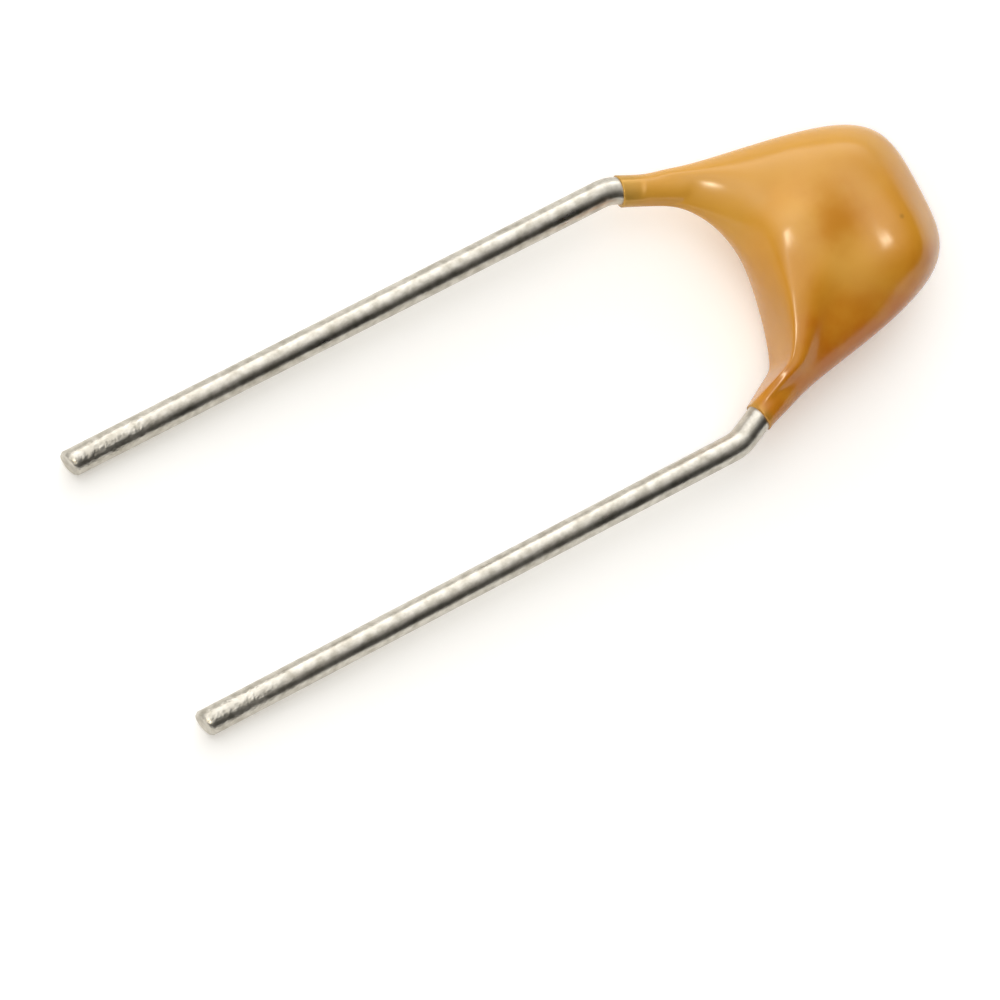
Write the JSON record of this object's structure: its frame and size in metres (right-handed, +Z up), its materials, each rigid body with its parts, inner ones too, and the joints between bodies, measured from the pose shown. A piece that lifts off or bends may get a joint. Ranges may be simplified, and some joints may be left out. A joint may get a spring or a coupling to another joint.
{
  "type": "multilayer ceramic capacitor",
  "caption": "Radial leaded ceramic capacitor: an ochre dipped epoxy body over a terminated ceramic chip, hollowed into an arch between parallel tinned leads that bend in to the chip.",
  "frame": {"origin": "centre of the bounding box's base, on the surface that the part lies on", "axes": "+X from the lead tips to the top of the body, +Y across the two leads to the left one, +Z up from the surface; the leads climb towards the body at the small angle at which the part comes to rest"},
  "size_m": [0.0166, 0.0056, 0.0023],
  "materials": {
    "epoxy": "gloss",
    "lead": "satin",
    "ceramic": "satin",
    "termination": "satin",
    "solder": "gloss",
    "electrode": "matte"
  },
  "bodies": {
    "root": {"epoxy_coating": "epoxy", "ceramic_body": "ceramic", "left_termination": "termination", "right_termination": "termination", "left_solder": "solder", "right_solder": "solder", "left_lead": "lead", "right_lead": "lead", "left_electrode_1": "electrode", "left_electrode_2": "electrode", "left_electrode_3": "electrode", "left_electrode_4": "electrode", "left_electrode_5": "electrode", "left_electrode_6": "electrode", "left_electrode_7": "electrode", "right_electrode_1": "electrode", "right_electrode_2": "electrode", "right_electrode_3": "electrode", "right_electrode_4": "electrode", "right_electrode_5": "electrode", "right_electrode_6": "electrode", "right_electrode_7": "electrode"}
  },
  "joints": []
}
